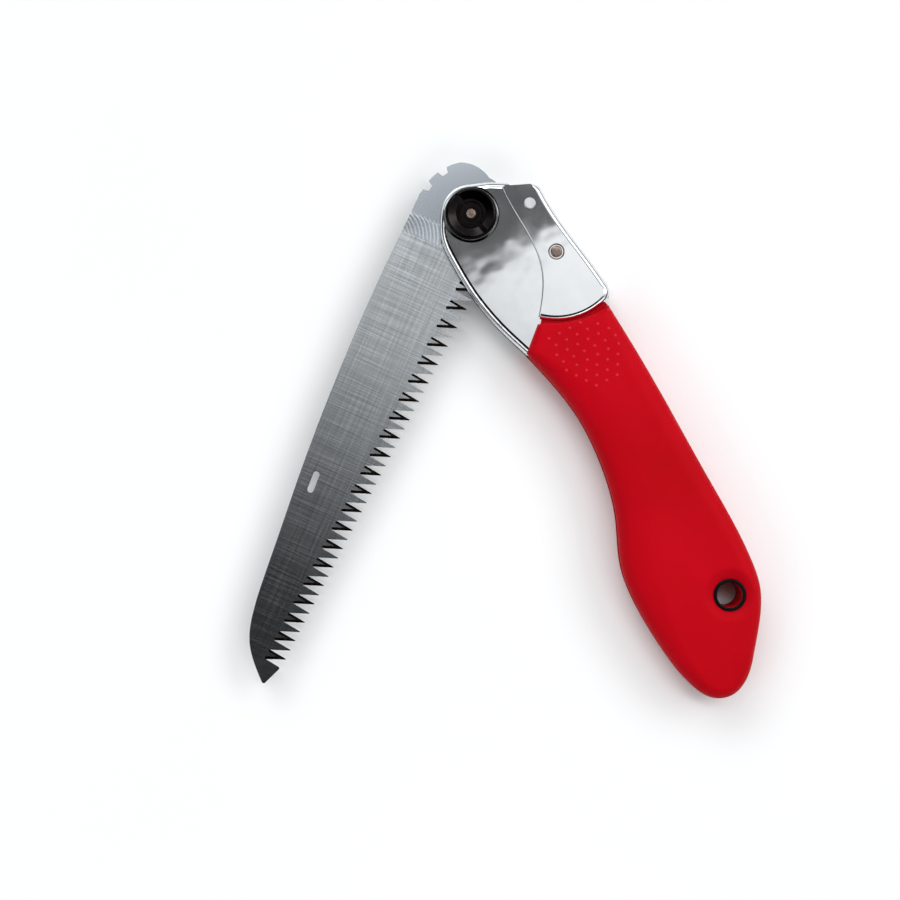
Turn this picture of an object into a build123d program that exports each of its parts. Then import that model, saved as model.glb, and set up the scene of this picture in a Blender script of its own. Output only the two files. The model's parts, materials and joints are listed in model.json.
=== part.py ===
from build123d import *
import math
import os

# Folding pruning saw, millimetres.
# The saw lies on its side.  +X runs along the handle from the butt to the head, +Y is the side
# that the blade folds into, and +Z is the blade pivot's axis.  The origin is the centre of the
# object's bounding box in plan, on the surface it lies on.

# ---- driving dimensions -------------------------------------------------------------------
PIVOT_X = 87.2          # blade pivot in the row frame
PIVOT_Y = -54.4
MID_Z = 10.0            # height of the blade's middle plane, half the grip's thickness

OPEN_ANGLE = 128.9      # direction of the blade at rest, from +X

BLADE_T = 1.0           # tang thickness
GROUND_T = 0.84         # ground body thickness
SLOT_HALF = 1.6         # half width of the blade slot
WASHER_T = 0.6
RUN = 0.05              # radial running clearance

PLATE_OUT = 6.2         # outer face of the pressed frame plates, from the middle plane
PLATE_T = 1.5
RIM_R = 2.3             # rounding of the plates' rims
POCKET_R = 9.75         # pocket round the pivot nut
POCKET_CHAMFER = 0.35
NOSE_R = 10.7           # head nose, concentric with the pivot

STACK = BLADE_T / 2 + 0.1               # inner face of the friction washers
WASHER_OUTER = STACK + WASHER_T
POCKET_FLOOR = WASHER_OUTER + PLATE_T
CUP_R = 10.4            # outside of the pressed cup round the pocket

LEVER_PIVOT = (-25.6, -20.8)
LEVER_IN = 6.4          # inner face of the lever's cheeks
LEVER_OUT = 7.6
LEVER_REAR_R = 24.9     # lever's rear edge, concentric with its pivot
LEVER_GAP = 0.3         # between the lever's rear edge and the grip
LEVER_WALL = 1.4
LEVER_PIN_R = 1.5
RIVET_HEAD_R = 2.1      # heads of the lever's pivot pin and of the lock pin
LOCK_HEAD_T = 0.45
PIN_HEAD_T = 0.75
DIMPLE = 0.6            # depth of the dimple round the lever's pivot rivet
LOCK_PIN = (-6.2, -20.15)
LOCK_PIN_R = 1.3

STOP_PIN = (-19.0, -16.8)
STOP_PIN_R = 2.0

LAND_R = 19.6           # tang radius between the lock notches
NOTCH_ANGLES = (-100.6, -124.6)   # notch directions on the tang, in the blade's own frame
NOTCH_FLOOR_R = 17.5

DISC_R = 9.2            # pivot nut and bolt head
DISC_TOP = 8.8
SHANK_R = 3.0
FIT = 0.02              # radial clearance of pieces that sit on the bolt
STUD_R = 2.0
BUSH_R = 4.5
FRICTION_R = 8.4        # friction washers
SPRING_WASHER_R = 5.6
SPRING_WASHER_T = 0.7
SPRING_GAP_W = 0.7      # cut in the spring washer
HUB_R = 6.5             # bolt head's hub on the pocket's floor
RIM_LOW = 5.4           # underside of the nut's and the bolt head's rim
HEX_R = 2.9             # hex socket in the bolt's head
HEX_DEPTH = 2.4

GRIP_TOP = 10.0
BUTT_TOP = 8.2          # half thickness towards which the butt thins
HOLE = (-161.4, -20.0)  # hang hole
HOLE_R = 4.55
RING_R = 5.8
HOLE_WALL_R = 6.8       # red wall round the hang hole, through the core
RING_OUT = 8.6          # outer face of the hang hole rings
RING_T = 1.2
DISH_FLOOR = 8.2        # dish round the hang hole
DISH_R = 9.6
DISH_RIM = 9.9          # height at which the dish's slope ends
RING_LEDGE = 0.6        # level ring of the dish's floor round the seat

TOOTH_PITCH = 3.695
TOOTH_COUNT = 41
TOOTH_DEPTH = 6.6
TOOTH_LEAN = 0.9        # from a tooth's heel-side root to its tip
TOOTH_FIRST_X = 23.6
TIP_HEEL = (-0.12, 0.0)     # the two corners of a tooth's blunt tip, from the tip's place
TIP_FRONT = (0.18, -0.05)
HEEL_BEVEL = 0.85       # bevel widths on a tooth's heel-side and front flanks
FRONT_BEVEL = 1.0
BEVEL_EDGE = -0.3       # where a bevel meets the flank, from the middle plane, on its own face
TOOTH_LINE_Y = 14.0     # the tooth tips' line, at the pivot
TOOTH_LINE_SLOPE = -0.0584

HANDLE = Plane(origin=(PIVOT_X, PIVOT_Y, MID_Z))
BLADE = HANDLE.rotated((0, 0, OPEN_ANGLE))
SECTION = Plane(origin=HANDLE.origin, x_dir=(1, 0, 0), z_dir=(0, -1, 0))   # upright, through the pivot
PIVOT_AXIS = Axis(HANDLE.origin, (0, 0, 1))

CLEAR = 12.0            # half height of cuts that go right through

os.makedirs("parts", exist_ok=True)


def polar(radius, degrees, centre=(0, 0)):
    """A point at a radius and angle from a centre."""
    angle = math.radians(degrees)
    return (centre[0] + radius * math.cos(angle), centre[1] + radius * math.sin(angle))


def keep(part, label):
    """Label a finished piece and write its STEP file."""
    part.part.label = label
    export_step(part.part, f"parts/{label}.step")


def keep_pair(part, label):
    """Write a piece and its mirror image on the far side of the blade."""
    keep(part, f"{label}_top")
    with BuildPart() as other:
        mirror(part.part, about=HANDLE)
    keep(other, f"{label}_bottom")


# ---- head outline --------------------------------------------------------------------------
# Slot edge of the head, from the grip to the nose.
HEAD_SLOT = [(-54.0, 4.8), (-45.0, 8.1), (-35.0, 11.1), (-25.0, 13.0), (-12.0, 13.9), (-1.0, 12.75)]
NOSE_START = 42         # the nose arc's directions from the pivot
NOSE_END = -18
SEAT = (-40.0, -19.4)   # spring seat block
SEAT_SIZE = (11.0, 4.8)
SEAT_PEG_R = 1.4
PIN_SLOT_W = 2 * LOCK_PIN_R + 0.9
PIN_SLOT_TOP = -16.6


def head_outline():
    """Plan face of the head, back to its join with the tail."""
    with BuildSketch() as head:
        with BuildLine():
            start = polar(NOSE_R, NOSE_START)
            end = polar(NOSE_R, NOSE_END)
            nose_in = (math.sin(math.radians(NOSE_START)), -math.cos(math.radians(NOSE_START)))
            Spline(*HEAD_SLOT, start, tangents=((1, 0.34), nose_in), tangent_scalars=(1, 0.6))
            ThreePointArc(start, polar(NOSE_R, (NOSE_START + NOSE_END) / 2), end)
            Polyline(
                end,
                (7.4, -10.9),
                (4.3, -16.6),
                (1.2, -17.4),
                (-0.9, -21.6),
                (-20.0, -23.8),
                (-46.0, -28.2),
                (-54.0, -26.7),
                (-54.0, 4.8),
            )
        make_face()
    return head.sketch


# ---- grip ---------------------------------------------------------------------------------
# Slot side, butt and back of the grip's plan outline.  Each point has the way its edge moves
# inwards where the grip's face slopes away, scaled by how wide that slope is there.
GRIP_SIDE = [
    ((-52.8, 5.2), (0, -0.3)),
    ((-65.0, 1.8), (0, -0.6)),
    ((-78.0, -0.9), (0, -0.95)),
    ((-90.0, -1.6), (0, -1.0)),
    ((-105.0, -0.4), (0, -1.0)),
    ((-120.0, 3.2), (0, -1.0)),
    ((-135.0, 9.1), (0, -1.0)),
    ((-152.0, 10.8), (0, -1.0)),
    ((-170.0, 9.4), (0.15, -0.9)),
    ((-185.0, 6.0), (0.4, -0.75)),
    ((-191.5, 1.9), (0.6, -0.45)),
    ((-194.0, -4.8), (0.7, 0)),
    ((-192.0, -11.0), (0.6, 0.3)),
    ((-183.0, -19.6), (0.35, 0.45)),
    ((-172.0, -27.6), (0.25, 0.5)),
    ((-164.0, -31.4), (0.15, 0.5)),
    ((-155.0, -32.9), (0, 0.5)),
    ((-120.0, -32.5), (0, 0.5)),
    ((-80.0, -31.0), (0, 0.5)),
    ((-50.7, -28.8), (0, 0.3)),
]
# Height above the middle plane, and how far the outline has moved in there.
GRIP_LEVELS = [(3.5, 0.0), (5.2, 0.35), (6.8, 1.3), (8.2, 3.2), (9.2, 6.0), (9.75, 9.0), (10.08, 13.0)]
GRIP_TIP = (-45.3, -3.3)
FRONT_SHARE = 0.14      # the front edge moves in by this part of the others' amount


def grip_outline(inset):
    """Closed plan outline of the grip, moved in by the given amount."""
    front = FRONT_SHARE * inset
    side = [(x + inset * nx, y + inset * ny) for (x, y), (nx, ny) in GRIP_SIDE]
    side[0] = (side[0][0] - front, side[0][1])
    side[-1] = (side[-1][0] - front, side[-1][1])
    gap_mid = polar(LEVER_REAR_R + LEVER_GAP, 180, LEVER_PIVOT)
    gap_end = polar(LEVER_REAR_R + LEVER_GAP, 180 - 36, LEVER_PIVOT)
    with BuildLine() as outline:
        Spline(side)
        ThreePointArc(side[-1], (gap_mid[0] - front, gap_mid[1]), (gap_end[0] - front, gap_end[1]))
        Line((gap_end[0] - front, gap_end[1]), (GRIP_TIP[0] - front, GRIP_TIP[1]))
        Line((GRIP_TIP[0] - front, GRIP_TIP[1]), side[0])
    return outline.line


# Inner plan outline that the liners and the tails fill: 2.2 mm inside the slot edge and 3 mm
# inside the back.
CORE_SIDE = [
    (-40.0, 6.5),
    (-52.8, 2.9),
    (-65.0, -0.5),
    (-78.0, -3.1),
    (-90.0, -3.8),
    (-105.0, -2.6),
    (-120.0, 1.0),
    (-135.0, 6.6),
    (-152.0, 8.3),
    (-170.0, 7.0),
    (-185.0, 3.2),
    (-190.5, -3.5),
    (-181.0, -17.4),
    (-170.0, -25.6),
    (-155.0, -29.8),
    (-120.0, -29.5),
    (-80.0, -28.2),
    (-53.0, -26.8),
]


def core_region(front_x, rear_x):
    """Face of the handle's core between two stations along the handle."""
    with BuildSketch() as region:
        with BuildLine():
            rim = Spline(CORE_SIDE)
            Line(rim @ 1, rim @ 0)
        make_face()
        with Locations(((front_x + rear_x) / 2, -10)):
            Rectangle(front_x - rear_x, 60, mode=Mode.INTERSECT)
    return region.sketch


CORE_FRONT = -53.0      # where the liners start
TAIL_END = -150.0       # where the plates' tails end
CORE_END = -200.0
SIDE = Plane(origin=(PIVOT_X, PIVOT_Y + 20, MID_Z), x_dir=(1, 0, 0), z_dir=(0, -1, 0))
HOLE_SECTION = Plane(
    origin=(PIVOT_X + HOLE[0], PIVOT_Y + HOLE[1], MID_Z), x_dir=(1, 0, 0), z_dir=(0, -1, 0)
)
HOLE_AXIS = Axis(HOLE_SECTION.origin, (0, 0, 1))
BACK_LINE = [(-53.0, -14.6), (-120.0, -14.6), (-150.0, -14.0), (-172.0, -13.6), (-184.5, -12.5)]


with BuildPart() as grip_cover:
    with BuildSketch(HANDLE.offset(-GRIP_LEVELS[0][0])):
        add(grip_outline(0))
        make_face()
    extrude(amount=2 * GRIP_LEVELS[0][0])
    for flip in (1, -1):
        for height, inset in GRIP_LEVELS[::flip]:
            with BuildSketch(HANDLE.offset(flip * height)):
                add(grip_outline(inset))
                make_face()
        loft()
    # side profile: level over most of the grip, thinner towards the butt
    with BuildSketch(SIDE):
        with BuildLine():
            upper = TangentArc((-125, GRIP_TOP), (-200, BUTT_TOP), tangent=(-1, 0))
            lower = TangentArc((-125, -GRIP_TOP), (-200, -BUTT_TOP), tangent=(-1, 0))
            Line(upper @ 1, lower @ 1)
            Polyline(upper @ 0, (-40, GRIP_TOP), (-40, -GRIP_TOP), lower @ 0)
        make_face()
    extrude(amount=60, mode=Mode.INTERSECT)
    # core space, open at the front, and the blade slot, open along the slot side
    with BuildSketch(HANDLE.offset(-PLATE_OUT)):
        add(core_region(-40, CORE_END))
        add(head_outline())
        with Locations(HOLE):
            Circle(HOLE_WALL_R, mode=Mode.SUBTRACT)
    extrude(amount=2 * PLATE_OUT, mode=Mode.SUBTRACT)
    with BuildSketch(HANDLE.offset(-SLOT_HALF)):
        with Locations((-115, 6)):
            Rectangle(143.0, 40)
        with Locations(HOLE):
            Circle(HOLE_WALL_R, mode=Mode.SUBTRACT)
    extrude(amount=2 * SLOT_HALF, mode=Mode.SUBTRACT)
    # hang hole, and on each face the seat of its ring and the shallow dish round it
    for flip in (1, -1):
        with BuildSketch(HOLE_SECTION):
            with BuildLine():
                Polyline(
                    (0, flip * (RING_OUT - RING_T)),
                    (RING_R, flip * (RING_OUT - RING_T)),
                    (RING_R, flip * DISH_FLOOR),
                    (RING_R + RING_LEDGE, flip * DISH_FLOOR),
                    (DISH_R, flip * DISH_RIM),
                    (DISH_R, flip * CLEAR),
                    (0, flip * CLEAR),
                    close=True,
                )
            make_face()
        revolve(axis=HOLE_AXIS, mode=Mode.SUBTRACT)
    with BuildSketch(HANDLE.offset(-CLEAR)):
        with Locations(HOLE):
            Circle(HOLE_R)
    extrude(amount=2 * CLEAR, mode=Mode.SUBTRACT)
keep(grip_cover, "grip_cover")

with BuildPart() as hang_ring:
    with BuildSketch(HANDLE.offset(RING_OUT - RING_T)):
        with Locations(HOLE):
            Circle(RING_R)
            Circle(HOLE_R, mode=Mode.SUBTRACT)
    extrude(amount=RING_T)
    fillet(hang_ring.edges().filter_by(GeomType.CIRCLE).group_by(Axis.Z)[-1], radius=0.35)
keep_pair(hang_ring, "hang_ring")

# ---- core of the handle -------------------------------------------------------------------
RIVETS = [(-62.0, -21.0), (-90.0, -22.5), (-118.0, -23.0), (-144.0, -23.0)]
RIVET_R = 2.0


def core_holes():
    """Holes for the hang hole's wall and the handle rivets."""
    with BuildSketch() as holes:
        with Locations(HOLE):
            Circle(HOLE_WALL_R)
        with Locations(RIVETS):
            Circle(RIVET_R)
    return holes.sketch


with BuildPart() as slot_liner:
    with BuildSketch(HANDLE.offset(SLOT_HALF)):
        add(core_region(CORE_FRONT, CORE_END))
        add(core_holes(), mode=Mode.SUBTRACT)
    extrude(amount=PLATE_OUT - PLATE_T - SLOT_HALF)
    with BuildSketch(HANDLE.offset(PLATE_OUT - PLATE_T)):
        add(core_region(TAIL_END - 0.1, CORE_END))
        add(core_holes(), mode=Mode.SUBTRACT)
    extrude(amount=PLATE_T)
keep_pair(slot_liner, "slot_liner")

with BuildPart() as spine_spacer:
    with BuildSketch(HANDLE.offset(-SLOT_HALF)):
        add(core_region(CORE_FRONT, CORE_END))
        with BuildLine():
            Polyline(*BACK_LINE, (-200, -12), (-200, 30), (-40, 30), (-40, -14.6), close=True)
        make_face(mode=Mode.SUBTRACT)
        add(core_holes(), mode=Mode.SUBTRACT)
    extrude(amount=2 * SLOT_HALF)
keep(spine_spacer, "spine_spacer")

with BuildPart() as spacer_rivets:
    with BuildSketch(HANDLE.offset(-PLATE_OUT)):
        with Locations(RIVETS):
            Circle(RIVET_R)
    extrude(amount=2 * PLATE_OUT)
keep(spacer_rivets, "spacer_rivets")

# ---- frame plates -------------------------------------------------------------------------
with BuildPart() as frame_plate:
    with BuildSketch(HANDLE.offset(SLOT_HALF)):
        add(head_outline())
    extrude(amount=PLATE_OUT - SLOT_HALF)
    rim = frame_plate.edges().group_by(Axis.Z)[-1].filter_by(lambda e: not (
        e.geom_type == GeomType.LINE and (e @ 0.5).Y < PIVOT_Y - 16.7
    ))
    rim = rim.filter_by(lambda e: abs((e @ 0.5).X - (PIVOT_X - 54.0)) > 0.5)
    fillet(rim, radius=RIM_R)
    # inside of the pressing: open at the back edge, where the lever and its spring work
    with BuildSketch(HANDLE.offset(SLOT_HALF)):
        with BuildLine():
            start = polar(NOSE_R - PLATE_T, NOSE_START)
            end = polar(NOSE_R - PLATE_T, NOSE_END)
            inner = [(x, y - PLATE_T) for x, y in HEAD_SLOT]
            Spline(*inner, start)
            ThreePointArc(start, polar(NOSE_R - PLATE_T, (NOSE_START + NOSE_END) / 2), end)
            Polyline(end, (5.9, -10.4), (3.2, -15.6), (-1.5, -16.4), (-1.5, -30), (-54, -30), inner[0])
        make_face()
    extrude(amount=PLATE_OUT - PLATE_T - SLOT_HALF, mode=Mode.SUBTRACT)
    # tail that runs back inside the grip
    with BuildSketch(HANDLE.offset(PLATE_OUT - PLATE_T)):
        add(core_region(-53.5, TAIL_END))
    extrude(amount=PLATE_T)
    # pocket round the pivot nut
    with BuildSketch(HANDLE.offset(WASHER_OUTER)):
        Circle(CUP_R)
    extrude(amount=PLATE_OUT - PLATE_T + 0.1 - WASHER_OUTER)
    with BuildSketch(HANDLE.offset(POCKET_FLOOR)):
        Circle(POCKET_R)
    extrude(amount=10, mode=Mode.SUBTRACT)
    with BuildSketch(SECTION):
        with BuildLine():
            Polyline(
                (POCKET_R - 0.1, PLATE_OUT - POCKET_CHAMFER - 0.1),
                (POCKET_R + POCKET_CHAMFER + 0.1, PLATE_OUT + 0.1),
                (POCKET_R - 0.1, PLATE_OUT + 0.1),
                close=True,
            )
        make_face()
    revolve(axis=PIVOT_AXIS, mode=Mode.SUBTRACT)
    # holes: pivot bolt, lever pivot pin, stop pin, spring seat pegs, rivets, and the lock pin's slot
    with BuildSketch(HANDLE):
        Circle(SHANK_R + FIT)
        with Locations(LEVER_PIVOT):
            Circle(LEVER_PIN_R)
        with Locations(STOP_PIN):
            Circle(STOP_PIN_R)
        with Locations((SEAT[0] - 3.4, SEAT[1]), (SEAT[0] + 3.4, SEAT[1])):
            Circle(SEAT_PEG_R)
        with Locations(RIVETS):
            Circle(RIVET_R)
        with Locations((LOCK_PIN[0], PIN_SLOT_TOP - PIN_SLOT_W / 2)):
            Circle(PIN_SLOT_W / 2)
        with Locations((LOCK_PIN[0], PIN_SLOT_TOP - PIN_SLOT_W / 2 - 5)):
            Rectangle(PIN_SLOT_W, 10)
    extrude(amount=20, mode=Mode.SUBTRACT)
keep_pair(frame_plate, "frame_plate")

# ---- lock lever ---------------------------------------------------------------------------
# Back edge of the lever, from its front corner to its rear corner.
LEVER_FRONT_LOW = (-0.2, -23.6)
LEVER_BACK = [(-3.8, -26.3), (-12.0, -26.7), (-25.0, -28.6), (-43.4, -31.5)]
LEVER_SEAM = [(-43.2, -4.7), (-37.0, -9.2), (-30.0, -12.8), (-23.0, -14.4), (-12.0, -14.4), (3.4, -14.0)]
# Height above the middle plane, and how far the rim has moved in there.
LEVER_LEVELS = [(5.2, 0.0), (6.2, 0.25), (6.9, 0.75), (7.35, 1.4), (LEVER_OUT, 2.3)]
SEAM_SHARE = 0.2        # the seam's edge moves back by this part of the rim's amount
DIMPLE_CONE = [(LEVER_OUT - DIMPLE, 2.4), (LEVER_OUT + 0.2, 3.1)]
REAR_LOW = 199          # directions of the rear arc's ends from the lever's pivot
REAR_HIGH = 139


def lever_outline(inset):
    """Plan face of the lever, its back and rear edges moved in by the given amount."""
    radius = LEVER_REAR_R - inset
    corner = polar(radius, REAR_LOW, LEVER_PIVOT)
    back = [(x, y + inset) for x, y in LEVER_BACK]
    seam = [(x, y - SEAM_SHARE * inset) for x, y in LEVER_SEAM]
    with BuildSketch() as cheek:
        with BuildLine():
            Polyline(seam[-1], (3.4, -15.2), LEVER_FRONT_LOW)
            ThreePointArc(LEVER_FRONT_LOW, (-1.4 - 0.5 * inset, -25.6 + 0.7 * inset), back[0])
            Spline(*back)
            ThreePointArc(back[-1], (-47.1 + 0.5 * inset, -31.1 + 0.8 * inset), corner)
            ThreePointArc(
                corner,
                polar(radius, (REAR_LOW + REAR_HIGH) / 2, LEVER_PIVOT),
                polar(radius, REAR_HIGH, LEVER_PIVOT),
            )
            Line(polar(radius, REAR_HIGH, LEVER_PIVOT), seam[0])
            Spline(*seam)
        make_face()
    return cheek.sketch


with BuildPart() as lock_lever:
    with BuildSketch(HANDLE.offset(-LEVER_LEVELS[0][0])):
        add(lever_outline(0))
    extrude(amount=2 * LEVER_LEVELS[0][0])
    for flip in (1, -1):
        for height, inset in LEVER_LEVELS[::flip]:
            with BuildSketch(HANDLE.offset(flip * height)):
                add(lever_outline(inset))
        loft()
    with BuildSketch(HANDLE.offset(-LEVER_IN)):
        with BuildLine():
            wall = Spline(*[(x, y + LEVER_WALL) for x, y in LEVER_BACK])
            Polyline(wall @ 1, (-60, -30.1), (-60, 10), (10, 10), (10, -24.9), wall @ 0)
        make_face()
    extrude(amount=2 * LEVER_IN, mode=Mode.SUBTRACT)
    with BuildSketch(HANDLE.offset(-CLEAR)):
        with Locations(LEVER_PIVOT):
            Circle(LEVER_PIN_R + RUN)
        with Locations(LOCK_PIN):
            Circle(LOCK_PIN_R)
    extrude(amount=2 * CLEAR, mode=Mode.SUBTRACT)
    for flip in (1, -1):
        # dimple round the pivot rivet
        for height, radius in DIMPLE_CONE[::flip]:
            with BuildSketch(HANDLE.offset(flip * height)):
                with Locations(LEVER_PIVOT):
                    Circle(radius)
        loft(mode=Mode.SUBTRACT)
keep(lock_lever, "lock_lever")

with BuildPart() as lock_pin:
    with BuildSketch(HANDLE.offset(-LEVER_OUT)):
        with Locations(LOCK_PIN):
            Circle(LOCK_PIN_R)
    extrude(amount=2 * LEVER_OUT)
    for flip in (1, -1):
        with BuildSketch(HANDLE.offset(flip * LEVER_OUT)):
            with Locations(LOCK_PIN):
                Circle(RIVET_HEAD_R)
        extrude(amount=flip * LOCK_HEAD_T)
    fillet(lock_pin.edges().group_by(Axis.Z)[-1], radius=LOCK_HEAD_T - 0.1)
    fillet(lock_pin.edges().group_by(Axis.Z)[0], radius=LOCK_HEAD_T - 0.1)
keep(lock_pin, "lock_pin")

with BuildPart() as lever_pivot_pin:
    with BuildSketch(HANDLE.offset(-LEVER_OUT)):
        with Locations(LEVER_PIVOT):
            Circle(LEVER_PIN_R)
    extrude(amount=2 * LEVER_OUT)
    for flip in (1, -1):
        with BuildSketch(HANDLE.offset(flip * (LEVER_OUT - DIMPLE + RUN))):
            with Locations(LEVER_PIVOT):
                Circle(RIVET_HEAD_R)
        extrude(amount=flip * PIN_HEAD_T)
    fillet(lever_pivot_pin.edges().group_by(Axis.Z)[-1], radius=PIN_HEAD_T - 0.15)
    fillet(lever_pivot_pin.edges().group_by(Axis.Z)[0], radius=PIN_HEAD_T - 0.15)
keep(lever_pivot_pin, "lever_pivot_pin")

# ---- lever spring and its seat ------------------------------------------------------------
with BuildPart() as spring_seat:
    with BuildSketch(HANDLE.offset(-PLATE_OUT + PLATE_T)):
        with Locations(SEAT):
            Rectangle(*SEAT_SIZE)
    extrude(amount=2 * (PLATE_OUT - PLATE_T))
    with BuildSketch(HANDLE.offset(-PLATE_OUT + 0.3)):
        with Locations((SEAT[0] - 3.4, SEAT[1]), (SEAT[0] + 3.4, SEAT[1])):
            Circle(SEAT_PEG_R)
    extrude(amount=2 * (PLATE_OUT - 0.3))
keep(spring_seat, "spring_seat")

SPRING_R = 2.0
SPRING_WIRE_R = 0.3
SPRING_TOP = SEAT[1] - SEAT_SIZE[1] / 2 - 0.1
SPRING_BOTTOM = -29.3 + SPRING_WIRE_R + 0.1
SPRING_LENGTH = SPRING_TOP - SPRING_WIRE_R - SPRING_BOTTOM
with BuildPart() as lever_spring:
    with BuildLine():
        coil = Helix(
            pitch=SPRING_LENGTH / 5,
            height=SPRING_LENGTH,
            radius=SPRING_R,
            center=(PIVOT_X + SEAT[0], PIVOT_Y + SPRING_BOTTOM, MID_Z),
            direction=(0, 1, 0),
        )
    with BuildSketch(Plane(origin=coil @ 0, z_dir=coil % 0)):
        Circle(SPRING_WIRE_R)
    sweep(path=coil, is_frenet=True)
keep(lever_spring, "lever_spring")

# ---- pivot --------------------------------------------------------------------------------
with BuildPart() as pivot_bush:
    with BuildSketch(HANDLE.offset(-STACK)):
        Circle(BUSH_R)
        Circle(SHANK_R + FIT, mode=Mode.SUBTRACT)
    extrude(amount=2 * STACK)
keep(pivot_bush, "pivot_bush")

with BuildPart() as friction_washer:
    with BuildSketch(HANDLE.offset(STACK)):
        Circle(FRICTION_R)
        Circle(SHANK_R + FIT, mode=Mode.SUBTRACT)
    extrude(amount=WASHER_T)
keep_pair(friction_washer, "friction_washer")

WASHER_OUT = POCKET_FLOOR + SPRING_WASHER_T
with BuildPart() as spring_washer:
    with BuildSketch(HANDLE.offset(POCKET_FLOOR)):
        Circle(SPRING_WASHER_R)
        Circle(SHANK_R + 0.1, mode=Mode.SUBTRACT)
        with Locations((4.3, 0)):
            Rectangle(4.0, SPRING_GAP_W, mode=Mode.SUBTRACT)
    extrude(amount=SPRING_WASHER_T)
keep(spring_washer, "spring_washer")

SLOT_TURN = 11          # direction of the nut's coin slots


with BuildPart() as pivot_nut:
    with BuildSketch(SECTION):
        with BuildLine():
            Polyline(
                (STUD_R + FIT, WASHER_OUT),
                (SPRING_WASHER_R, WASHER_OUT),
                (SPRING_WASHER_R, RIM_LOW),
                (DISC_R - 0.4, RIM_LOW),
                (DISC_R, RIM_LOW + 0.5),
                (DISC_R, 7.7),
            )
            ThreePointArc((DISC_R, 7.7), (DISC_R - 0.35, 8.45), (DISC_R - 1.1, DISC_TOP))
            Polyline(
                (DISC_R - 1.1, DISC_TOP),
                (5.3, 8.35),
                (5.0, 8.75),
                (4.3, 8.75),
                (4.0, 8.1),
                (2.7, 8.1),
                (2.5, 8.5),
                (STUD_R + FIT, 8.5),
                (STUD_R + FIT, WASHER_OUT),
            )
        make_face()
    revolve(axis=PIVOT_AXIS)
    with BuildSketch(HANDLE.rotated((0, 0, SLOT_TURN)).offset(DISC_TOP - 1.2)):
        with Locations((6.3, 0), (-6.3, 0)):
            SlotOverall(4.6, 1.7)
    extrude(amount=3, mode=Mode.SUBTRACT)
keep(pivot_nut, "pivot_nut")

with BuildPart() as pivot_bolt:
    with BuildSketch(SECTION):
        with BuildLine():
            Polyline(
                (0, DISC_TOP - 0.1),
                (STUD_R - 0.4, DISC_TOP - 0.1),
                (STUD_R, DISC_TOP - 0.5),
                (STUD_R, WASHER_OUT - 0.1),
                (SHANK_R, WASHER_OUT - 0.1),
                (SHANK_R, -POCKET_FLOOR),
                (HUB_R, -POCKET_FLOOR),
                (HUB_R, -RIM_LOW),
                (DISC_R - 0.4, -RIM_LOW),
                (DISC_R, -RIM_LOW - 0.5),
                (DISC_R, -7.6),
            )
            ThreePointArc((DISC_R, -7.6), (DISC_R - 0.4, -8.4), (DISC_R - 1.4, -DISC_TOP))
            Polyline((DISC_R - 1.4, -DISC_TOP), (0, -DISC_TOP), (0, DISC_TOP - 0.1))
        make_face()
    revolve(axis=PIVOT_AXIS)
    with BuildSketch(HANDLE.offset(-DISC_TOP)):
        RegularPolygon(radius=HEX_R, side_count=6)
    extrude(amount=HEX_DEPTH, mode=Mode.SUBTRACT)
keep(pivot_bolt, "pivot_bolt")

with BuildPart() as blade_stop_pin:
    with BuildSketch(HANDLE.offset(-PLATE_OUT + 0.1)):
        with Locations(STOP_PIN):
            Circle(STOP_PIN_R)
    extrude(amount=2 * (PLATE_OUT - 0.1))
keep(blade_stop_pin, "blade_stop_pin")

# ---- blade --------------------------------------------------------------------------------
SPINE = [
    (0.0, -19.9),
    (14.0, -20.3),
    (30.0, -20.8),
    (50.0, -20.9),
    (75.0, -20.3),
    (105.0, -18.7),
    (140.0, -15.7),
    (160.0, -13.6),
    (171.0, -10.3),
    (178.0, -4.9),
    (182.2, -0.5),
]
NOSE_TANG = [(-15.2, 0.5), (-13.4, 6.5), (-8.0, 12.0), (0.0, 14.4), (8.0, 15.1), (15.5, 14.1)]


def tip_of(index):
    """Where a tooth's tip is, in the blade's frame."""
    x = TOOTH_FIRST_X + TOOTH_PITCH * index
    return (x, TOOTH_LINE_Y + TOOTH_LINE_SLOPE * x)


def teeth():
    """Toothed edge from the heel to the tip block."""
    edge = []
    for index in range(TOOTH_COUNT):
        x, y = tip_of(index)
        edge.append((x - TOOTH_LEAN, y - TOOTH_DEPTH))
        edge.append((x + TIP_HEEL[0], y + TIP_HEEL[1]))
        edge.append((x + TIP_FRONT[0], y + TIP_FRONT[1]))
    return edge


def bevel_cutter(root, tip, width, inward, face):
    """Prism that bevels one flank of a tooth, from its root to past its tip, on one face."""
    run = Vector(*tip) - Vector(*root)
    across = Vector(run.Y, -run.X).normalized() * inward
    origin = Vector(*root) + BEVEL_EDGE * face * Vector(0, 0, 1)
    steep = (GROUND_T / 2 - BEVEL_EDGE) / width
    up = -inward * face
    with BuildPart() as cutter:
        with BuildSketch(Plane(origin=origin, x_dir=across, z_dir=run.normalized())):
            with BuildLine():
                Polyline(
                    (-0.05, -0.05 * steep * up),
                    (1.3 * width, 1.3 * width * steep * up),
                    (-0.05, 1.3 * width * steep * up),
                    close=True,
                )
            make_face()
        extrude(amount=run.length + 0.8)
    return cutter.part


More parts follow.
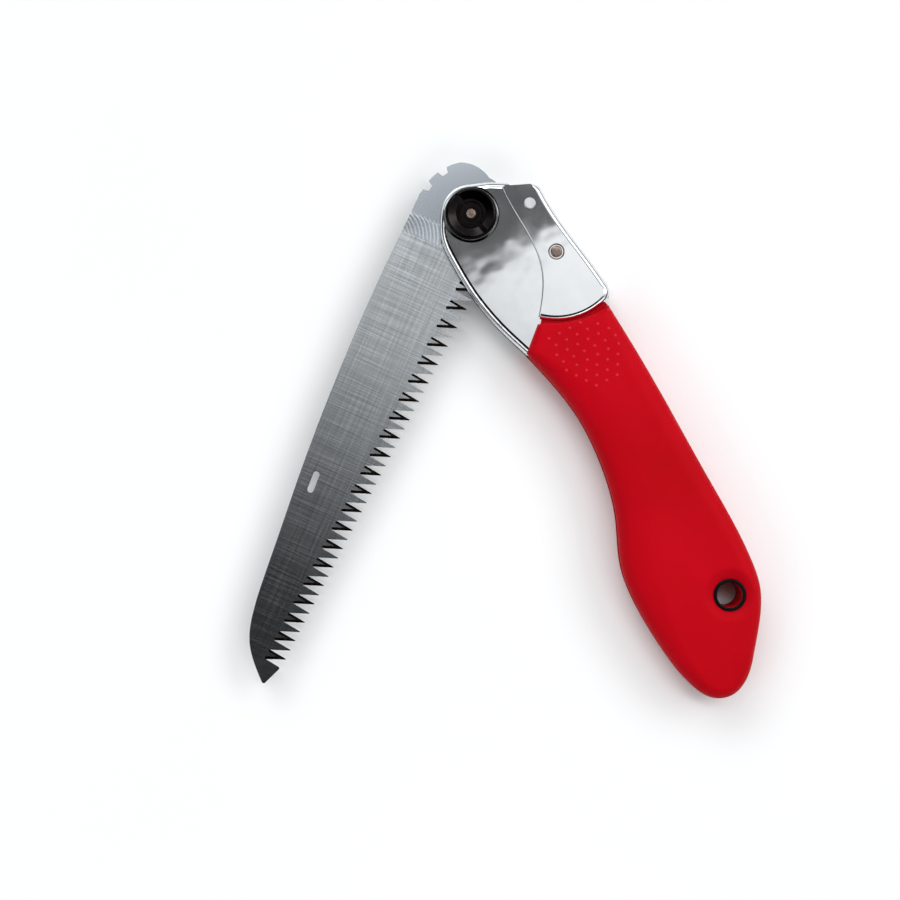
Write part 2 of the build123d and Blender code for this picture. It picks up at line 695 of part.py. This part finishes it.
last_x, last_y = tip_of(TOOTH_COUNT - 1)
with BuildPart() as blade:
    with BuildSketch(BLADE.offset(-BLADE_T / 2)):
        with BuildLine():
            Spline(*SPINE)
            ThreePointArc((182.2, -0.5), (182.35, 0.25), (181.8, 0.75))
            Polyline(
                (181.8, 0.75),
                (175.4, 3.3),
                (174.9, 2.9),
                (last_x + TOOTH_PITCH - TOOTH_LEAN, last_y - TOOTH_DEPTH),
                *reversed(teeth()),
                (21.2, 13.0),
                (20.3, 13.9),
                (15.5, 14.1),
            )
            Spline(*reversed(NOSE_TANG))
            nose_end = polar(LAND_R, -145)
            Spline((-15.2, 0.5), (-17.0, -4.5), nose_end)
            ThreePointArc(nose_end, polar(LAND_R, -120), polar(LAND_R, -93.7))
            Line(polar(LAND_R, -93.7), (0.0, -19.9))
        make_face()
    extrude(amount=BLADE_T)
    # ground flats, with a short run-out before the tang
    for flip in (1, -1):
        grind = Plane(origin=BLADE.origin, x_dir=BLADE.x_dir, z_dir=-BLADE.y_dir)
        with BuildSketch(grind.offset(-30)):
            with BuildLine():
                Polyline(
                    (8.0, flip * BLADE_T / 2),
                    (14.5, flip * GROUND_T / 2),
                    (190.0, flip * GROUND_T / 2),
                    (190.0, flip * 2.0),
                    (8.0, flip * 2.0),
                    close=True,
                )
            make_face()
        extrude(amount=60, mode=Mode.SUBTRACT)
    # bevels on both flanks of every tooth, on alternate faces
    x, y = tip_of(0)
    heel_root = (x - TOOTH_LEAN, y - TOOTH_DEPTH)
    heel_tip = (x + TIP_HEEL[0], y + TIP_HEEL[1])
    front_tip = (x + TIP_FRONT[0], y + TIP_FRONT[1])
    next_root = (x + TOOTH_PITCH - TOOTH_LEAN, y + TOOTH_LINE_SLOPE * TOOTH_PITCH - TOOTH_DEPTH)
    for face in (1, -1):
        first = 0 if face == 1 else 1
        steps = [index * TOOTH_PITCH for index in range(first, TOOTH_COUNT, 2)]
        places = [BLADE.location * Location((step, step * TOOTH_LINE_SLOPE, 0)) for step in steps]
        heel_cutter = bevel_cutter(heel_root, heel_tip, HEEL_BEVEL, 1, face)
        front_cutter = bevel_cutter(next_root, front_tip, FRONT_BEVEL, -1, face)
        with Locations(*places):
            add(heel_cutter, mode=Mode.SUBTRACT)
            add(front_cutter, mode=Mode.SUBTRACT)
    # pivot hole, lock notches and the oval slot near the tip
    with BuildSketch(BLADE.offset(-2)):
        Circle(BUSH_R + RUN)
        with Locations(Location((109.5, -12.7, 0), (0, 0, 3))):
            SlotOverall(8.0, 2.3)
        for angle in NOTCH_ANGLES:
            floor = [polar(NOTCH_FLOOR_R, angle - 3.6), polar(NOTCH_FLOOR_R, angle + 3.6)]
            with BuildLine():
                Polyline(
                    floor[0],
                    floor[1],
                    polar(LAND_R + 2, angle + 6.6),
                    polar(LAND_R + 2, angle - 6.6),
                    close=True,
                )
            make_face()
    extrude(amount=4, mode=Mode.SUBTRACT)
keep(blade, "blade")
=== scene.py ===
import json
import math

import bpy
import bmesh
from mathutils import Matrix, Vector


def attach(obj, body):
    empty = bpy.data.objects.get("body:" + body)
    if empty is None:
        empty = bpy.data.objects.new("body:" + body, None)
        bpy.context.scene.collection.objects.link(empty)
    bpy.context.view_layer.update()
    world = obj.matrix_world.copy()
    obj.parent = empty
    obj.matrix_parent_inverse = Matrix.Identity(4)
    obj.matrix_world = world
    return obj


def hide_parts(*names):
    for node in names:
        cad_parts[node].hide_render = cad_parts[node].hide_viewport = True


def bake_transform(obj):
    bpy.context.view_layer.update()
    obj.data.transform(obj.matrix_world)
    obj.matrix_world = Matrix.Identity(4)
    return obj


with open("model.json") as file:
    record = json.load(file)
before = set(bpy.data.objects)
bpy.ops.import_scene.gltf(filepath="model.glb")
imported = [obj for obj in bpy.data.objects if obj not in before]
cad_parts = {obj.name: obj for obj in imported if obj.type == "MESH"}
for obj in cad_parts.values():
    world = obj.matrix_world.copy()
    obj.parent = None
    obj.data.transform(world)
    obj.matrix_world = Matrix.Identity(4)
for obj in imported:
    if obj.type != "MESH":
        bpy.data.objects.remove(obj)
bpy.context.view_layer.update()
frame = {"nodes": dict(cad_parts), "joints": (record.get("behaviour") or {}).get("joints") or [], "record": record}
nodes = frame["nodes"]
MM = 0.001

# ---- the two pivots, from the frame --------------------------------------------------------
joints = {joint["name"]: joint for joint in frame["joints"]}
pivot = Vector(joints["blade_fold"]["pos_m"])
lever_pivot = Vector(joints["lever_press"]["pos_m"])
BLADE_ANGLE = math.radians(128.9)  # the blade's direction at rest, from +X, as in the CAD


# ---- material helpers ----------------------------------------------------------------------
def material(name, color, metallic, roughness):
    """A new material and its node tree, shader and object-space coordinates."""
    made = bpy.data.materials.new(name)
    made.use_nodes = True
    tree = made.node_tree
    shader = tree.nodes["Principled BSDF"]
    shader.inputs["Base Color"].default_value = (*color, 1)
    shader.inputs["Metallic"].default_value = metallic
    shader.inputs["Roughness"].default_value = roughness
    place = tree.nodes.new("ShaderNodeTexCoord")
    return made, tree, shader, place.outputs["Object"]


def noise(tree, where, scale, detail):
    """A noise texture's factor."""
    node = tree.nodes.new("ShaderNodeTexNoise")
    node.inputs["Scale"].default_value = scale
    node.inputs["Detail"].default_value = detail
    tree.links.new(where, node.inputs["Vector"])
    return node.outputs["Fac"]


def ramp(tree, factor, stops):
    """A colour ramp over (position, colour) stops."""
    node = tree.nodes.new("ShaderNodeValToRGB")
    elements = node.color_ramp.elements
    while len(elements) < len(stops):
        elements.new(0.5)
    for element, (position, color) in zip(elements, stops):
        element.position = position
        element.color = (*color, 1)
    tree.links.new(factor, node.inputs["Fac"])
    return node.outputs["Color"]


def mottled(tree, factor, dark, light):
    """A colour that wanders between two with a noise factor."""
    return ramp(tree, factor, [(0.3, dark), (0.7, light)])


def spread(tree, factor, low, high):
    """A factor mapped from 0..1 to low..high."""
    node = tree.nodes.new("ShaderNodeMapRange")
    node.inputs["To Min"].default_value = low
    node.inputs["To Max"].default_value = high
    tree.links.new(factor, node.inputs["Value"])
    return node.outputs["Result"]


def smooth(tree, factor, start, end, low, high):
    """A smooth step of a factor from low, at start, to high, at end."""
    node = tree.nodes.new("ShaderNodeMapRange")
    node.interpolation_type = "SMOOTHSTEP"
    node.inputs["From Min"].default_value = start
    node.inputs["From Max"].default_value = end
    node.inputs["To Min"].default_value = low
    node.inputs["To Max"].default_value = high
    tree.links.new(factor, node.inputs["Value"])
    return node.outputs["Result"]


def mixed(tree, factor, first, second):
    """A colour socket between a plain colour, at 0, and another colour socket, at 1."""
    node = tree.nodes.new("ShaderNodeMix")
    node.data_type = "RGBA"
    factor_in, first_in, second_in = node.inputs[0], node.inputs[6], node.inputs[7]
    first_in.default_value = (*first, 1)
    tree.links.new(factor, factor_in)
    tree.links.new(second, second_in)
    return node.outputs[2]


def mapped(tree, where, scale=(1, 1, 1), turn=0.0, move=(0, 0, 0)):
    """Coordinates moved, turned about Z and scaled."""
    shift = tree.nodes.new("ShaderNodeMapping")
    shift.inputs["Location"].default_value = move
    tree.links.new(where, shift.inputs["Vector"])
    node = tree.nodes.new("ShaderNodeMapping")
    node.inputs["Rotation"].default_value = (0, 0, turn)
    tree.links.new(shift.outputs["Vector"], node.inputs["Vector"])
    last = tree.nodes.new("ShaderNodeMapping")
    last.inputs["Scale"].default_value = scale
    tree.links.new(node.outputs["Vector"], last.inputs["Vector"])
    return last.outputs["Vector"]


def maths(tree, operation, first, second=None):
    """One maths node over two inputs, each a socket or a number."""
    node = tree.nodes.new("ShaderNodeMath")
    node.operation = operation
    for socket, value in zip(node.inputs, (first, second)):
        if value is None:
            continue
        if isinstance(value, (int, float)):
            socket.default_value = value
        else:
            tree.links.new(value, socket)
    return node.outputs["Value"]


def bump(tree, shader, height, strength, distance):
    """Bump on a shader from a height factor; a second call adds to the first."""
    node = tree.nodes.new("ShaderNodeBump")
    node.inputs["Strength"].default_value = strength
    node.inputs["Distance"].default_value = distance
    tree.links.new(height, node.inputs["Height"])
    before = shader.inputs["Normal"].links
    if before:
        tree.links.new(before[0].from_socket, node.inputs["Normal"])
    tree.links.new(node.outputs["Normal"], shader.inputs["Normal"])


# ---- materials -----------------------------------------------------------------------------
def plated_steel():
    """Bright plating: mirror-like, with a faint haze and a slight ripple of the pressing."""
    made, tree, shader, where = material("plated_steel", (0.80, 0.81, 0.82), 1.0, 0.08)
    haze = noise(tree, where, scale=140, detail=6)
    tree.links.new(spread(tree, haze, low=0.02, high=0.09), shader.inputs["Roughness"])
    tint = mottled(tree, noise(tree, where, scale=35, detail=3), (0.74, 0.75, 0.77), (0.84, 0.85, 0.86))
    tree.links.new(tint, shader.inputs["Base Color"])
    ripple = noise(tree, where, scale=60, detail=2)
    bump(tree, shader, ripple, strength=0.12, distance=0.0006)
    return made


SOFT_EDGE = 3 * MM         # how far the moulded rubber's creases are rounded
SOFT_SAMPLES = 6
RUBBER_GLOSS = 0.05


def rubber(name, dark, light, rounded):
    """Satin red elastomer with a fine moulded grain, its creases rounded if asked."""
    made, tree, shader, where = material(name, light, 0.0, 0.5)
    shader.inputs["Specular IOR Level"].default_value = RUBBER_GLOSS
    patch = noise(tree, where, scale=25, detail=3)
    tree.links.new(mottled(tree, patch, dark, light), shader.inputs["Base Color"])
    satin = noise(tree, where, scale=220, detail=4)
    tree.links.new(spread(tree, satin, low=0.46, high=0.62), shader.inputs["Roughness"])
    if rounded:
        soft = tree.nodes.new("ShaderNodeBevel")
        soft.samples = SOFT_SAMPLES
        soft.inputs["Radius"].default_value = SOFT_EDGE
        tree.links.new(soft.outputs["Normal"], shader.inputs["Normal"])
    bump(tree, shader, noise(tree, where, scale=2600, detail=3), strength=0.10, distance=0.00012)
    return made


# steps along the blade from the pivot: start, end, value before, value after
GROUND_FROM = (13 * MM, 15 * MM, 0, 1)
RUN_OUT_FROM = (6.5 * MM, 8 * MM, 0, 1)
RUN_OUT_TO = (14 * MM, 15.5 * MM, 1, 0)
ARC_CENTRE = (19 * MM, -25 * MM)   # of the run-out's arcs, along and across the blade from the pivot
ARC_PITCH = 1.3 * MM
ACROSS_SCALE = (1900, 45, 1)       # noise stretched into lines across the blade
LONG_SCALE = (30, 1100, 1)         # and along it
ACROSS_SHARE = 0.6
LINE_TONES = [(0.32, (0.40, 0.42, 0.44)), (0.5, (0.54, 0.56, 0.58)), (0.66, (0.68, 0.71, 0.74))]
TANG_TONE = (0.56, 0.60, 0.65)
# partly the heat tint of the hardened teeth, partly painted shade: the dark that tilted faces reflect, painted
# into their colour
HEAT_TINT_AND_PAINTED_SHADE_TONE = (0.055, 0.042, 0.034)
LEVEL_FROM = (0.90, 0.96, 0, 1)    # how level a face is where the dark tone, partly heat tint and partly painted shade, gives way to bare steel
BLADE_BUMP = (0.3, 0.00004)        # strength and distance


def blade_steel():
    """Ground saw steel: lines along and across, a ripple where the grind runs out, and tilted faces painted dark,
    partly heat tint and partly painted shade.
    """
    made, tree, shader, where = material("blade_steel", (0.62, 0.64, 0.66), 1.0, 0.22)
    local = mapped(tree, where, turn=-BLADE_ANGLE, move=(-pivot.x, -pivot.y, 0))
    split = tree.nodes.new("ShaderNodeSeparateXYZ")
    tree.links.new(local, split.inputs["Vector"])
    along = split.outputs["X"]

    across_lines = noise(tree, mapped(tree, local, scale=ACROSS_SCALE), scale=1, detail=2)
    long_lines = noise(tree, mapped(tree, local, scale=LONG_SCALE), scale=1, detail=2)
    lines = maths(
        tree,
        "ADD",
        maths(tree, "MULTIPLY", across_lines, ACROSS_SHARE),
        maths(tree, "MULTIPLY", long_lines, 1 - ACROSS_SHARE),
    )
    ground = smooth(tree, along, *GROUND_FROM)

    # arcs left by the wheel where the ground flat runs out towards the tang
    reach = tree.nodes.new("ShaderNodeVectorMath")
    reach.operation = "DISTANCE"
    reach.inputs[1].default_value = (*ARC_CENTRE, pivot.z)
    tree.links.new(local, reach.inputs[0])
    turns = maths(tree, "MULTIPLY", reach.outputs["Value"], 2 * math.pi / ARC_PITCH)
    run_out = maths(
        tree,
        "MULTIPLY",
        smooth(tree, along, *RUN_OUT_FROM),
        smooth(tree, along, *RUN_OUT_TO),
    )
    wave = maths(tree, "MULTIPLY", maths(tree, "SINE", turns), run_out)

    plain = mixed(tree, ground, TANG_TONE, ramp(tree, lines, LINE_TONES))

    # every face leaning away from level, the teeth's bevels and the sheared edges, is painted dark: partly the
    # heat tint of the hardened teeth, partly painted shade for the dark these tilted faces reflect
    facing = tree.nodes.new("ShaderNodeTexCoord")
    lean = tree.nodes.new("ShaderNodeSeparateXYZ")
    tree.links.new(facing.outputs["Normal"], lean.inputs["Vector"])
    flat = smooth(tree, maths(tree, "ABSOLUTE", lean.outputs["Z"]), *LEVEL_FROM)
    tree.links.new(mixed(tree, flat, HEAT_TINT_AND_PAINTED_SHADE_TONE, plain), shader.inputs["Base Color"])

    scratched = maths(tree, "MULTIPLY", lines, ground)
    tree.links.new(spread(tree, scratched, low=0.13, high=0.21), shader.inputs["Roughness"])
    bump(tree, shader, scratched, *BLADE_BUMP)
    bump(tree, shader, wave, *BLADE_BUMP)
    return made


def simple_metal(name, dark, light, low, high, grain):
    """Metal with mottled colour, roughness from low to high and a fine grain."""
    made, tree, shader, where = material(name, light, 1.0, low)
    mottle = noise(tree, where, scale=grain, detail=5)
    tree.links.new(mottled(tree, mottle, dark, light), shader.inputs["Base Color"])
    tree.links.new(spread(tree, mottle, low, high), shader.inputs["Roughness"])
    bump(tree, shader, noise(tree, where, scale=grain * 4, detail=3), strength=0.2, distance=0.0001)
    return made


def moulded(name, dark, light, low, high, gloss):
    """Hard moulded plastic with roughness from low to high and a fine texture."""
    made, tree, shader, where = material(name, light, 0.0, low)
    shader.inputs["Specular IOR Level"].default_value = gloss
    mottle = noise(tree, where, scale=90, detail=4)
    tree.links.new(mottled(tree, mottle, dark, light), shader.inputs["Base Color"])
    tree.links.new(spread(tree, mottle, low, high), shader.inputs["Roughness"])
    bump(tree, shader, noise(tree, where, scale=1800, detail=3), strength=0.12, distance=0.00008)
    return made


PLASTICS = [               # name, dark and light colour, lowest and highest roughness, gloss
    ("liner_plastic", (0.010, 0.010, 0.011), (0.020, 0.020, 0.021), 0.35, 0.5, 0.5),
    ("ring_plastic", (0.002, 0.002, 0.002), (0.005, 0.005, 0.005), 0.12, 0.2, 0.1),
]
METALS = [                 # name, dark and light colour, lowest and highest roughness, grain
    ("spacer_steel", (0.38, 0.38, 0.39), (0.52, 0.52, 0.53), 0.28, 0.42, 160),
    ("dark_steel", (0.006, 0.005, 0.005), (0.015, 0.013, 0.013), 0.07, 0.2, 120),
    ("bronze", (0.42, 0.26, 0.12), (0.58, 0.38, 0.18), 0.3, 0.45, 160),
    ("rivet_steel", (0.10, 0.070, 0.058), (0.30, 0.23, 0.20), 0.14, 0.3, 300),
]
slots = {
    "plated_steel": plated_steel(),
    "grip_rubber": rubber("grip_rubber", (0.46, 0.0003, 0.005), (0.56, 0.0006, 0.009), rounded=True),
    "blade_steel": blade_steel(),
}
for row in PLASTICS:
    slots[row[0]] = moulded(*row)
for row in METALS:
    slots[row[0]] = simple_metal(*row)
for entry in frame["record"]["subparts"]:
    shown = nodes[entry["node"]]
    shown.data.materials.clear()
    shown.data.materials.append(slots[entry["material_slot"]])


# ---- pieces modelled here: two that the CAD lacks, and a coil in place of its spring --------
# Lengths without MM are in millimetres.
def walls(mesh, rings):
    """Faces between each closed ring of vertices and the next."""
    for before, after in zip(rings, rings[1:]):
        for corner in range(len(before)):
            beside = (corner + 1) % len(before)
            mesh.faces.new((before[corner], after[corner], after[beside], before[beside]))


def shaped(name, mesh, made, smooth_shaded=True):
    """A mesh turned into an object with its material."""
    data = bpy.data.meshes.new(name)
    mesh.to_mesh(data)
    mesh.free()
    piece = bpy.data.objects.new(name, data)
    bpy.context.collection.objects.link(piece)
    data.materials.append(made)
    for face in data.polygons:
        face.use_smooth = smooth_shaded
    return piece


def finished(piece, body):
    """A piece attached to its body."""
    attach(piece, body)


DOME_RINGS = 4
DOME_TILT = 28             # degrees between two rings, from the foot to the top
DOME_SIDES = 10
DOME_SINK = 0.05 * MM      # how deep its foot lies in the surface


def dome(mesh, centre, normal, radius, height):
    """A low round dome standing on a surface point."""
    turn = Vector((0, 0, 1)).rotation_difference(normal).to_matrix().to_4x4()
    place = Matrix.Translation(centre) @ turn
    directions = [2 * math.pi * side / DOME_SIDES for side in range(DOME_SIDES)]
    top = math.sin(math.radians(DOME_TILT * (DOME_RINGS - 1)))
    rings = []
    for step in range(DOME_RINGS):
        tilt = math.radians(DOME_TILT * step)
        across = radius * math.cos(tilt)
        rise = height * math.sin(tilt) / top - DOME_SINK
        ring = []
        for angle in directions:
            spot = place @ Vector((across * math.cos(angle), across * math.sin(angle), rise))
            ring.append(mesh.verts.new(spot))
        rings.append(ring)
    for lower, upper in zip(rings, rings[1:]):
        for corner in range(DOME_SIDES):
            after = (corner + 1) % DOME_SIDES
            mesh.faces.new((lower[corner], lower[after], upper[after], upper[corner]))
    mesh.faces.new(rings[-1])
    mesh.faces.new(list(reversed(rings[0])))


PIMPLE_R = 0.62 * MM
PIMPLE_H = 0.32 * MM
RAY_FROM = 50 * MM         # the ray that finds the grip's face starts this far from the middle plane
FLAT_ENOUGH = 0.7          # least upright share of the face's normal under a pimple
ROW_STEP = 3.18            # between rows, along the handle
DOT_STEP = 4.12            # between pimples of a row
ROWS = [                   # first and last pimple of each row, across the handle
    (-4.2, -25.0),
    (-5.4, -23.0),
    (-4.0, -24.6),
    (-5.0, -26.0),
    (-4.6, -25.2),
    (-6.8, -23.3),
    (-9.2, -21.6),
    (-11.5, -19.8),
]
FIRST_ROW_X = -51.9


def pimples():
    """Rows of small domes on both faces of the grip, behind its front edge."""
    grip = nodes["grip_cover"]
    mesh = bmesh.new()
    for row, (start, stop) in enumerate(ROWS):
        count = round((start - stop) / DOT_STEP) + 1
        for dot in range(count):
            place = pivot + Vector((FIRST_ROW_X - ROW_STEP * row, start - DOT_STEP * dot, 0)) * MM
            for side in (1, -1):
                start_at = Vector((place.x, place.y, place.z + side * RAY_FROM))
                hit, spot, normal, _ = grip.ray_cast(start_at, Vector((0, 0, -side)))
                if hit and abs(normal.z) > FLAT_ENOUGH:
                    dome(mesh, spot, normal, PIMPLE_R, PIMPLE_H)
    # the pimples' lighter red is partly wear and partly a painted highlight, the sheen their glossier tops would
    # catch
    wear_and_sheen = rubber("wear_and_sheen_rubber", (0.62, 0.012, 0.026), (0.70, 0.025, 0.045), rounded=False)
    finished(shaped("grip_pimples", mesh, wear_and_sheen), "handle")


pimples()

LIP_INNER = 23.4           # the lip's edges, from the lever's pivot
LIP_OUTER = 26.2
LIP_LOW = 6.15             # its faces, from the middle plane
LIP_HIGH = 6.35
LIP_SECTION = [
    (LIP_INNER, LIP_LOW),
    (LIP_OUTER, LIP_LOW),
    (LIP_OUTER, LIP_HIGH),
    (LIP_INNER, LIP_HIGH),
]
LIP_FROM = 140.5           # directions of its ends from the lever's pivot, in degrees
LIP_TO = 197
LIP_STEPS = 24


def lip():
    """The grip's thin red lip that reaches under the lever's rear edge, on both faces, in a darker red that is
    painted shade.
    """
    mesh = bmesh.new()
    for side in (1, -1):
        rings = []
        for step in range(LIP_STEPS + 1):
            angle = math.radians(LIP_FROM + (LIP_TO - LIP_FROM) * step / LIP_STEPS)
            out = Vector((math.cos(angle), math.sin(angle), 0))
            ring = []
            for radius, rise in LIP_SECTION:
                spot = lever_pivot + (out * radius + Vector((0, 0, side * rise))) * MM
                ring.append(mesh.verts.new(spot))
            rings.append(ring)
        walls(mesh, rings)
        mesh.faces.new(list(reversed(rings[0])))
        mesh.faces.new(rings[-1])
    bmesh.ops.recalc_face_normals(mesh, faces=mesh.faces)
    # the lip's red is darker than the grip's: painted shade of the gap under the lever's rear edge
    edge = rubber("lip_rubber_painted_shade", (0.30, 0.0003, 0.004), (0.38, 0.0006, 0.007), rounded=False)
    finished(shaped("grip_lip", mesh, edge, smooth_shaded=False), "handle")


lip()

SPRING_AT = (-40.0, -28.9) # the coil's end at the lever, from the blade's pivot
SPRING_END_Y = -22.2       # its end at the spring seat
SPRING_R = 2.0             # of the coil, to the middle of the wire
SPRING_WIRE_R = 0.3
SPRING_TURNS = 5
TURN_STEPS = 24
WIRE_SIDES = 8


def spring():
    """The lever's coil spring, which stretches between the handle and the lever."""
    mesh = bmesh.new()
    length = SPRING_END_Y - SPRING_AT[1]
    steps = SPRING_TURNS * TURN_STEPS
    up = Vector((0, 1, 0))
    rings = []
    for step in range(steps + 1):
        angle = 2 * math.pi * step / TURN_STEPS
        out = Vector((math.cos(angle), 0, math.sin(angle)))
        middle = Vector((SPRING_AT[0], SPRING_AT[1] + length * step / steps, 0)) + SPRING_R * out
        ring = []
        for side in range(WIRE_SIDES):
            around = 2 * math.pi * side / WIRE_SIDES
            edge = middle + SPRING_WIRE_R * (math.cos(around) * out + math.sin(around) * up)
            ring.append(mesh.verts.new(pivot + edge * MM))
        rings.append(ring)
    walls(mesh, rings)
    mesh.faces.new(rings[0])
    mesh.faces.new(list(reversed(rings[-1])))
    coil = shaped("spring_coil", mesh, slots["spacer_steel"])
    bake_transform(coil)
    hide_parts("lever_spring")


spring()

# ---- floor, light and camera ---------------------------------------------------------------
FLOOR_SIZE = 6
PAPER_TONES = [(0.3, (0.93, 0.93, 0.93)), (0.7, (0.96, 0.96, 0.96))]
bpy.ops.mesh.primitive_plane_add(size=FLOOR_SIZE, location=(0, 0, 0))
floor = bpy.context.object
floor.name = "floor"
paper, tree, shader, where = material("paper", (0.9, 0.9, 0.9), 0.0, 0.9)
tree.links.new(ramp(tree, noise(tree, where, scale=3, detail=2), PAPER_TONES), shader.inputs["Base Color"])
floor.data.materials.append(paper)

# The sky's steps: start, end, level before, level after. Slopes run along LAMP_SIDE, which points from
# the blade's tip to its pivot, and east and north are the frame's +X and +Y.
LAMP_SIDE = (0.626, -0.78, 0)
CEILING = (-0.085, 0.155, 0.0, 1.2)
KEY_LAMP = (0.15, 0.24, 0, 1.2)    # adds to the ceiling
SIDE_LAMP = (0.25, 0.28, 0, 5.0)   # a bright lamp further out on that side
PAST_LAMP = (0.34, 0.37, 1, 0.06)  # and the dark beyond it
DARK_PATCH_EAST = [(0.072, 0.081, 0, 1), (0.125, 0.15, 1, 0)]    # a patch overhead, dimmed
DARK_PATCH_NORTH = [(-0.16, -0.13, 0, 1), (-0.04, -0.01, 1, 0)]
DARK_PATCH_SHARE = 0.9
SIDE_LIGHT = (-0.75, 0.75, 0.55, 1.4)  # the room is brighter on the lamps' side
OVERHEAD = (0.80, 0.90, 0, 1)      # heights where the room gives way to what is overhead
ROOM_BANDS = [             # brightness of the room by the sine of the height above the horizon
    (0.0, 0.35),
    (0.15, 0.3),
    (0.22, 0.15),
    (0.44, 0.15),
    (0.50, 2.0),
    (0.74, 2.0),
    (0.78, 0.4),
    (1.0, 0.4),
]
BAND_SCALE = 5             # a ramp's colours are kept below 1 and scaled back afterwards
CORNER = 0.35              # brightness of the room's corners and windows, from its mean
WINDOW = 1.65
NOT_ZERO = 0.0001          # keeps the division straight up from failing
SKY_TINT = (0.97, 0.99, 1.0)


def sky():
    """Bright room with a dark side beyond the blade's tip, as a mirror lying level would see it."""
    world = bpy.context.scene.world or bpy.data.worlds.new("world")
    bpy.context.scene.world = world
    world.use_nodes = True
    tree = world.node_tree
    place = tree.nodes.new("ShaderNodeTexCoord")
    where = place.outputs["Generated"]
    side = tree.nodes.new("ShaderNodeVectorMath")
    side.operation = "DOT_PRODUCT"
    side.inputs[1].default_value = LAMP_SIDE
    tree.links.new(where, side.inputs[0])
    split = tree.nodes.new("ShaderNodeSeparateXYZ")
    tree.links.new(where, split.inputs["Vector"])
    east, north, height = split.outputs

    slope = side.outputs["Value"]
    overhead = smooth(tree, slope, *CEILING)
    for lamp in (KEY_LAMP, SIDE_LAMP):
        overhead = maths(tree, "ADD", overhead, smooth(tree, slope, *lamp))
    overhead = maths(tree, "MULTIPLY", overhead, smooth(tree, slope, *PAST_LAMP))
    edges = [smooth(tree, east, *step) for step in DARK_PATCH_EAST]
    edges += [smooth(tree, north, *step) for step in DARK_PATCH_NORTH]
    patch = edges[0]
    for edge in edges[1:]:
        patch = maths(tree, "MULTIPLY", patch, edge)
    keep = maths(tree, "SUBTRACT", 1, maths(tree, "MULTIPLY", patch, DARK_PATCH_SHARE))
    overhead = maths(tree, "MULTIPLY", overhead, keep)

    bands = ramp(tree, height, [(bound, (level / BAND_SCALE,) * 3) for bound, level in ROOM_BANDS])
    around = maths(tree, "MULTIPLY", bands, BAND_SCALE)
    around = maths(tree, "MULTIPLY", around, smooth(tree, slope, *SIDE_LIGHT))
    # the room's windows face along the axes, and its corners are dimmer
    east_2 = maths(tree, "MULTIPLY", east, east)
    north_2 = maths(tree, "MULTIPLY", north, north)
    level_2 = maths(tree, "ADD", maths(tree, "ADD", east_2, north_2), NOT_ZERO)
    facing = maths(tree, "DIVIDE", maths(tree, "SUBTRACT", east_2, north_2), level_2)
    facing = maths(tree, "MULTIPLY", facing, facing)
    around = maths(tree, "MULTIPLY", around, spread(tree, facing, CORNER, WINDOW))
    blend = smooth(tree, height, *OVERHEAD)
    mix = tree.nodes.new("ShaderNodeMix")
    mix.data_type = "FLOAT"
    tree.links.new(blend, mix.inputs["Factor"])
    tree.links.new(around, mix.inputs["A"])
    tree.links.new(overhead, mix.inputs["B"])
    tree.links.new(mix.outputs["Result"], tree.nodes["Background"].inputs["Strength"])
    tree.nodes["Background"].inputs["Color"].default_value = (*SKY_TINT, 1)


sky()
bpy.context.scene.view_settings.view_transform = "Standard"

UNDER_CAMERA = Vector((-70.9, 44.6, 0)) * MM      # from the blade's pivot
CAMERA_HEIGHT = 0.661      # above the blade's pivot
FIELD = 0.32143            # width of the picture at the pivot's height
TURN = math.atan2(-0.8903, -0.4554)  # of the camera, about the vertical
SENSOR = 36
camera_data = bpy.data.cameras.new("camera")
camera = bpy.data.objects.new("camera", camera_data)
bpy.context.collection.objects.link(camera)
camera.location = pivot + UNDER_CAMERA + Vector((0, 0, CAMERA_HEIGHT))
camera.rotation_euler = (0, 0, TURN)
camera_data.sensor_width = SENSOR
camera_data.lens = SENSOR * CAMERA_HEIGHT / FIELD
bpy.context.scene.camera = camera
